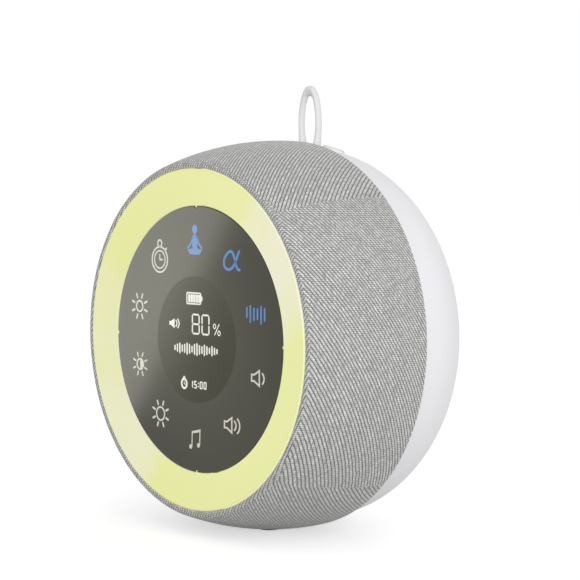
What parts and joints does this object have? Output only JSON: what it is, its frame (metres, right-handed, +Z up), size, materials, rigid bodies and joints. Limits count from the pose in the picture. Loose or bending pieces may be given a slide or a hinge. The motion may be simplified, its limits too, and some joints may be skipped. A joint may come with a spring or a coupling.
{
  "type": "white noise sound machine",
  "caption": "Drum-shaped bedside sound machine with a round touch display, a glowing ring, cloth side, domed rear shell, top buttons and a hanging loop.",
  "frame": {"origin": "on the table, under the middle of the body", "axes": "+Z up, the display faces -Y, +X to the right as seen from the front"},
  "size_m": [0.11, 0.0663, 0.1253],
  "materials": {
    "smoked_panel": "gloss",
    "ring_diffuser": "satin",
    "white_inner_plastic": "matte",
    "grey_inner_plastic": "matte",
    "display_glass": "gloss",
    "foam": "matte",
    "circuit_board": "satin",
    "led_package": "satin",
    "screw_steel": "satin",
    "twill_cloth": "matte",
    "foot_rubber": "matte",
    "speaker_steel": "satin",
    "magnet_ferrite": "matte",
    "coil_copper": "satin",
    "cone_paper": "matte",
    "black_rubber": "matte",
    "spider_cloth": "matte",
    "battery_foil": "satin",
    "chip_plastic": "matte",
    "socket_steel": "satin",
    "ribbon_film": "satin",
    "white_shell": "satin",
    "white_silicone": "satin"
  },
  "bodies": {
    "housing": {"touch_panel": "smoked_panel", "light_ring": "ring_diffuser", "icon_light_mask": "white_inner_plastic", "display_module": "display_glass", "display_cushion": "foam", "touch_board": "circuit_board", "icon_leds": "led_package", "front_frame": "white_inner_plastic", "ring_board": "circuit_board", "ring_leds": "led_package", "front_screws": "screw_steel", "grille_frame": "grey_inner_plastic", "fabric_sleeve": "twill_cloth", "base_foot": "foot_rubber", "speaker_baffle": "grey_inner_plastic", "speaker_box": "grey_inner_plastic", "baffle_screws": "screw_steel", "speaker_gasket": "foam", "speaker_basket": "speaker_steel", "speaker_top_plate": "speaker_steel", "speaker_magnet": "magnet_ferrite", "speaker_yoke": "speaker_steel", "speaker_surround": "black_rubber", "speaker_spider": "spider_cloth", "speaker_screws": "screw_steel", "battery_cradle": "grey_inner_plastic", "battery_pack": "battery_foil", "main_board": "circuit_board", "board_components": "chip_plastic", "board_screws": "screw_steel", "usb_socket": "socket_steel", "usb_tongue": "chip_plastic", "display_ribbon": "ribbon_film", "ribbon_connectors": "white_inner_plastic", "rear_shell": "white_shell", "shell_screws": "screw_steel", "hanging_loop": "white_silicone", "switch_housings": "chip_plastic", "control_board": "circuit_board", "control_screws": "screw_steel"},
    "cone_assembly": {"speaker_cone": "cone_paper", "speaker_dust_cap": "cone_paper", "voice_coil": "coil_copper"},
    "left_button": {"left_button": "white_silicone", "left_switch_plunger": "chip_plastic"},
    "right_button": {"right_button": "white_silicone", "right_switch_plunger": "chip_plastic"}
  },
  "joints": [
    {"name": "left_button_press", "type": "slide", "parent": "housing", "child": "left_button", "axis": [0, 0, -1], "range_m": [0, 0.0004], "stiffness_N_per_m": 3000, "springref_m": -0.0003},
    {"name": "right_button_press", "type": "slide", "parent": "housing", "child": "right_button", "axis": [0, 0, -1], "range_m": [0, 0.0004], "stiffness_N_per_m": 3000, "springref_m": -0.0003},
    {"name": "cone_excursion", "type": "slide", "parent": "housing", "child": "cone_assembly", "axis": [0, -1, 0], "range_m": [-0.001, 0.001], "stiffness_N_per_m": 1500, "deforming": ["speaker_surround", "speaker_spider"]}
  ]
}
